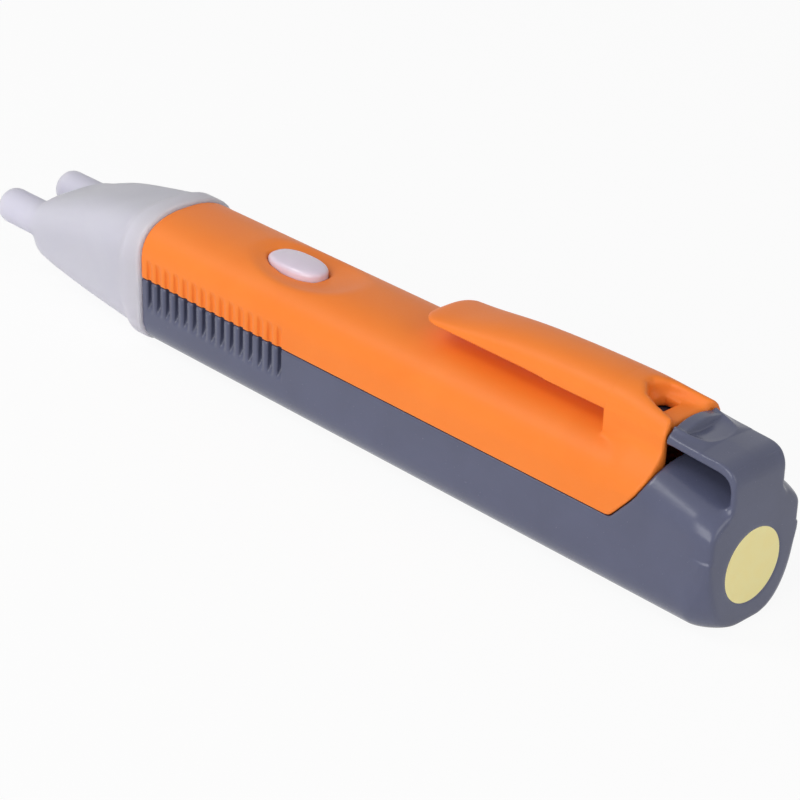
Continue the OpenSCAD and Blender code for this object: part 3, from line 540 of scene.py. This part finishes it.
# Latch tongue. Part of the tray moulding, free on three sides; a thumb in its scoop presses it down and
# the arm under the hump lets go of the bridge.
arm_front, rim_play = 58.4, 0.12
xs, ys = slices((57.6, 64.8, 0.2), (64.8, 77.3, 0.12)), slices((-5.9, 5.9, 0.13))
zs = slices((21.6, 26.8, 0.12))
x, y, z = np.ix_(xs, ys, zs)
tongue = trim(tongue_form(x, y, z), -rim(x, y, z, rim_play), 0.25)
tongue = np.maximum(tongue, np.maximum(x - 76.9, 22.0 - z))
tongue = tongue + 0.02 * np.clip(np.maximum(x - 76.2, 22.7 - z), 0, 1)
arm = np.maximum(np.maximum(arm_front - x, x - 67), np.maximum(np.abs(y) - 2.9, np.abs(z - 23.05) - 0.75))
latch = skin("latch_tongue_skin", xs, ys, zs, np.minimum(tongue, trim(arm, arm_front - x, 0.3)))
latch.data.materials.append(grey_abs)
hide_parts("latch_tongue")
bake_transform(latch)


# Inspection sticker. A die cut disc of pale yellow coated paper, stuck into a shallow bed of the end face
# and left unprinted.
around = 90
turns = [math.radians(k * 360 / around) for k in range(around)]
rims = ((5.45, 0.10), (5.45, 0.03), (5.38, 0.005), (4.6, 0.0), (2.5, 0.0))
points, faces = [], []
for radius, back in rims:
    points += [(0.001 * tail_x - 0.001 * (back + 0.06), 0.001 * radius * math.cos(turn),
                0.001 * sticker_height + 0.001 * radius * math.sin(turn)) for turn in turns]
for row in range(0, around * (len(rims) - 1), around):
    faces += [(row + j, row + (j + 1) % around, row + around + (j + 1) % around, row + around + j)
              for j in range(around)]
faces += [tuple(range(len(points) - around, len(points))), tuple(range(around - 1, -1, -1))]
disc = bpy.data.meshes.new("sticker_disc")
disc.from_pydata(points, [], faces)
sticker = bpy.data.objects.new("sticker_disc", disc)
bpy.context.scene.collection.objects.link(sticker)
# Coated paper: even and pale with a low sheen, and a trace of fibre of about 0.3 mm under the coating.
yellow_paper = finish("coated_paper_pale_yellow", "#FFEDA0", "#FFF5B6", 2.5, 0.3, (0.38, 0.55), 0.02, {
    "Specular IOR Level": 0.3})
sticker.data.materials.append(yellow_paper)
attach(sticker, "tray")
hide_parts("inspection_sticker")


# Circuit board. Routed glass epoxy under green solder resist, screwed to two posts in the upper shell;
# its small parts are soldered on by machine, and each keeps its shape from model.glb.
def dress(material, *nodes):
    """Gives a finish to parts that keep their own shape."""
    for node in nodes:
        bpy.data.objects[node].material_slots[0].material = material


# Solder resist: glossy, cloudy where copper lies under it. Weave of the glass cloth about 0.5 mm.
dress(finish("solder_resist_green", "#17512F", "#2C7A4C", 2.2, 0.5, (0.22, 0.36), 0.02), "circuit_board")
# Zinc plate on steel: a soft cold shine with faint yellow blotches.
dress(finish("zinc_plated_steel", "#A9ABA6", "#C9CAC2", 0.8, 0.15, (0.25, 0.42), 0.01, {"Metallic": 1.0}),
      "board_screws")
# Bare copper wire, browned a little in the air.
dress(finish("drawn_copper_wire", "#9C5A34", "#C77C4E", 1.5, 0.2, (0.25, 0.4), 0.01, {"Metallic": 1.0}),
      "sensor_fork")
# Solder tinned wire: bright, with dull frosted spots where the solder froze.
dress(finish("tinned_copper_wire", "#A7A9AC", "#D2D3D4", 0.5, 0.12, (0.2, 0.45), 0.01, {"Metallic": 1.0}),
      "led_leads", "buzzer_pins", "chip_legs", "switch_legs")
# Black epoxy and glass filled plastic: matt, speckled by the filler.
dress(finish("moulding_compound_black", "#141416", "#232428", 0.7, 0.12, (0.5, 0.75), 0.02),
      "buzzer", "logic_chip", "chip_resistors", "transistors", "switch_body")
# Fired ceramic of chip capacitors: tan, waxy and slightly cloudy.
dress(finish("fired_ceramic_tan", "#9A7A55", "#B99A72", 0.4, 0.1, (0.35, 0.55), 0.01), "chip_capacitors")
# White acetal: waxy, with light that sinks in at the edges.
dress(finish("moulded_acetal_white", "#D8D6D0", "#E8E6E0", 1.5, 0.2, (0.4, 0.55), 0.01, {
    "Subsurface Weight": 0.3, "Subsurface Scale": 0.0006}), "switch_plunger")
# Shrink sleeve of the can capacitor: dark blue and smooth.
dress(finish("shrink_sleeve_blue", "#1B2A52", "#27396A", 2.0, 0.3, (0.25, 0.4), 0.01), "can_capacitor")
# Cast epoxy of the two lamps: clear, so it shows depth; the alarm lamp is dyed red.
dress(finish("cast_epoxy_red", "#B3161B", "#D4242A", 1.6, 0.4, (0.05, 0.12), 0.005, {
    "Transmission Weight": 0.6}), "alarm_led")
dress(finish("cast_epoxy_clear", "#E6E8EA", "#F4F5F6", 1.6, 0.4, (0.04, 0.1), 0.005, {
    "Transmission Weight": 0.85}), "torch_led")


# Cells. Two AAA cells end to end, each a drawn steel can in a shrink sleeve, rolled over at the front
# where a nylon seal and the positive cap sit, and bare at the flat negative end.
def lathe(name, starts, profile):
    """One mesh of like solids turned about the cells' line; the profile is rows of (x, radius)."""
    count = 64
    points, faces = [], []
    for start in starts:
        base = len(points)
        for x, radius in profile:
            points += [((start + x) / 1000, radius * math.cos(k * math.tau / count) / 1000,
                        (cell_height + radius * math.sin(k * math.tau / count)) / 1000) for k in range(count)]
        last = base + (len(profile) - 1) * count
        for row in range(base, last, count):
            faces += [(row + k, row + (k + 1) % count, row + count + (k + 1) % count, row + count + k)
                      for k in range(count)]
        faces += [tuple(range(base + count - 1, base - 1, -1)), tuple(range(last, last + count))]
    mesh = bpy.data.meshes.new(name)
    mesh.from_pydata(points, [], faces)
    mesh.shade_smooth()
    piece = bpy.data.objects.new(name, mesh)
    bpy.context.scene.collection.objects.link(piece)
    return piece


cell_starts, dark_end = {"front_cell": -18.8, "rear_cell": 25.7}, 9.6
# Shrink sleeve: thin printed film, glossy, drawn tight with slight ripples, and dark at the positive end.
sleeve = finish("shrink_sleeve_sage", "#7C8C84", "#8E9E95", 5.0, 0.8, (0.2, 0.34), 0.015)
tree = sleeve.node_tree
along = add(tree, "ShaderNodeSeparateXYZ", {}, {0: tree.nodes["Texture Coordinate"].outputs["Object"]})
front, rear = (start / 1000 for start in cell_starts.values())
place = add(tree, "ShaderNodeMath", {"operation": "WRAP", 1: rear, 2: front}, {0: along.outputs["X"]})
band = add(tree, "ShaderNodeMath", {"operation": "LESS_THAN", 1: front + dark_end / 1000},
           {0: place.outputs[0]})
print_ink = add(tree, "ShaderNodeMix", {"data_type": "RGBA", 7: srgb("#23302C")},
                {0: band.outputs[0], 6: tree.nodes["tint"].outputs[2]})
tree.links.new(print_ink.outputs[2], tree.nodes["Principled BSDF"].inputs["Base Color"])
# Nickel plate on steel: bright and warm, wiped dull in streaks where contacts rub.
nickel = finish("nickel_plated_steel", "#A8A59E", "#CFCCC4", 1.2, 0.2, (0.16, 0.38), 0.01, {"Metallic": 1.0})
sleeve_from, sleeve_to = 2.2, 43.74
can_profile = (
    (1.7, 0.02), (1.7, 2.5), (1.6, 2.6), (1.25, 2.62), (1.2, 2.75), (1.2, 4.2), (1.3, 4.7), (1.55, 4.98),
    (1.9, 5.0), (2.1, 4.93), (2.2, 4.93), (2.25, 5.09), (2.4, 5.15), (43.5, 5.15), (43.7, 5.1), (43.75, 4.97),
    (44.0, 4.9), (44.3, 4.65), (44.43, 4.3), (44.45, 4.0), (44.45, 3.1), (44.32, 2.95), (44.32, 0.02))
cap_profile = (
    (0.05, 0.02), (0.05, 1.5), (0.1, 1.75), (0.25, 1.88), (1.1, 1.9), (1.25, 2.0), (1.3, 2.3), (1.35, 2.48),
    (1.45, 2.5), (1.65, 2.5), (1.65, 0.02))
for node, start in cell_starts.items():
    can = lathe(node + "_can", [start], can_profile)
    can.data.materials.append(sleeve)
    can.data.materials.append(nickel)
    for face in can.data.polygons:
        face.material_index = 0 if sleeve_from < face.center.x * 1000 - start < sleeve_to else 1
    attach(can, "tray")
    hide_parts(node)
caps = lathe("positive_caps", cell_starts.values(), cap_profile)
caps.data.materials.append(nickel)
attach(caps, "tray")
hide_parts("cell_caps")


# Tail spring and contacts. A coned spring of nickel plated wire presses the cells forward; its plate, the
# strip under the cells, the wiper and the front contact are stamped from nickel plated strip.
coil, coil_input = new_tree("coned_spring", {
    "Turns": 3.5, "Small radius": 0.0022, "Large radius": 0.0036, "Length": 0.0046, "Wire": 0.0005,
    "Material": "NodeSocketMaterial"})
given = add(coil, "NodeGroupInput", {}).outputs
path = add(coil, "GeometryNodeCurveSpiral", {"Resolution": 40}, {
    "Rotations": given["Turns"], "Start Radius": given["Small radius"], "End Radius": given["Large radius"],
    "Height": given["Length"]})
thick = add(coil, "ShaderNodeMath", {"operation": "MULTIPLY", 1: 0.5}, {0: given["Wire"]})
round_wire = add(coil, "GeometryNodeCurvePrimitiveCircle", {"Resolution": 14}, {"Radius": thick.outputs[0]})
wire = add(coil, "GeometryNodeCurveToMesh", {"Fill Caps": True},
           {"Curve": path.outputs[0], "Profile Curve": round_wire.outputs[0]})
placed = add(coil, "GeometryNodeTransform", {
    "Translation": (0.0705, 0, cell_height / 1000), "Rotation": (0, math.pi / 2, 0)},
    {"Geometry": wire.outputs[0]})
end_tree(coil, placed.outputs[0], given["Material"])
spring = bpy.data.objects.new("tail_spring_wire", bpy.data.meshes.new("tail_spring_wire"))
bpy.context.scene.collection.objects.link(spring)
run_tree(spring, coil, {coil_input["Material"]: nickel})
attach(spring, "tray")
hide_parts("tail_spring")
dress(nickel, "positive_contact", "negative_wiper", "spring_plate", "return_strip")


# Floor, soft boxes and camera. The floor is matt white paper that reads as white to the camera and keeps
# a soft shadow; a broad key from the grip side, a fill from the tail, a small strip from the nose and an
# even sky light the tester.
def white_rays(tree):
    """One where the camera, or a mirror or glass, looks at the backdrop, and zero for light on the tester."""
    ray = add(tree, "ShaderNodeLightPath", {}).outputs
    seen = ray["Is Camera Ray"]
    for other in ("Is Glossy Ray", "Is Transmission Ray"):
        seen = add(tree, "ShaderNodeMath", {"operation": "MAXIMUM"}, {0: seen, 1: ray[other]}).outputs[0]
    return seen


paper = bpy.data.materials.new("backdrop_paper_white")
paper.use_nodes = True
tree = paper.node_tree
tree.nodes.remove(tree.nodes["Principled BSDF"])
share = add(tree, "ShaderNodeMath", {"operation": "MULTIPLY", 1: 0.92}, {0: white_rays(tree)})
matt = add(tree, "ShaderNodeBsdfDiffuse", {"Color": srgb("#F4F4F4")})
glow = add(tree, "ShaderNodeEmission", {"Color": (1, 1, 1, 1), "Strength": 1.0})
both = add(tree, "ShaderNodeMixShader", {}, {0: share.outputs[0], 1: matt.outputs[0], 2: glow.outputs[0]})
tree.links.new(both.outputs[0], tree.nodes["Material Output"].inputs["Surface"])
reach, below = 2, -0.0002
sheet = bpy.data.meshes.new("backdrop_floor")
sheet.from_pydata([(i * reach, j * reach, below) for i, j in ((-1, -1), (1, -1), (1, 1), (-1, 1))], [],
                  [(0, 1, 2, 3)])
floor = bpy.data.objects.new("backdrop_floor", sheet)
bpy.context.scene.collection.objects.link(floor)
sheet.materials.append(paper)

world = bpy.data.worlds.new("studio_sky")
bpy.context.scene.world = world
world.use_nodes = True
tree = world.node_tree
level = add(tree, "ShaderNodeMapRange", {"To Min": 0.25, "To Max": 1.0}, {"Value": white_rays(tree)})
tree.links.new(level.outputs[0], tree.nodes["Background"].inputs["Strength"])
tree.nodes["Background"].inputs["Color"].default_value = (1, 1, 1, 1)

for name, spot, aim, width, power in (
        ("key_softbox", (0.15, -0.80, 0.34), (0, 0, 0.01), 0.6, 4.25),
        ("fill_softbox", (0.8, 0.05, 0.35), (0.05, 0, 0.01), 0.5, 1.6),
        ("strip_softbox", (-0.31, -0.30, 0.52), (0.06, 0, 0.02), 0.24, 1.2)):
    lamp = bpy.data.lights.new(name, "AREA")
    lamp.size, lamp.energy = width, power
    holder = bpy.data.objects.new(name, lamp)
    bpy.context.scene.collection.objects.link(holder)
    holder.rotation_euler = (Vector(aim) - Vector(spot)).to_track_quat("-Z", "Y").to_euler()
    holder.location = spot

lens_data = bpy.data.cameras.new("camera")
lens_data.lens, lens_data.sensor_width = 114.704, 36.0
lens_data.clip_start = 0.01
camera = bpy.data.objects.new("camera", lens_data)
bpy.context.scene.collection.objects.link(camera)
bpy.context.scene.camera = camera
azimuth, height, roll = math.radians(45.851), math.radians(27.39), math.radians(1.58)
target, distance = np.array([0.010987, 0, 0.006351]), 0.37382
ahead = np.array([math.sin(azimuth), -math.cos(azimuth), 0.0])
back = ahead * math.cos(height) + np.array([0, 0, math.sin(height)])
up = np.array([0, 0, math.cos(height)]) - ahead * math.sin(height)
right = np.array([math.cos(azimuth), math.sin(azimuth), 0.0])
right, up = right * math.cos(roll) + up * math.sin(roll), up * math.cos(roll) - right * math.sin(roll)
stand = target + back * distance
rows = [(*row, shift) for row, shift in zip(np.stack([right, up, back], 1), stand)]
camera.matrix_world = Matrix(rows + [(0, 0, 0, 1)])
bpy.context.scene.view_settings.view_transform = "Standard"
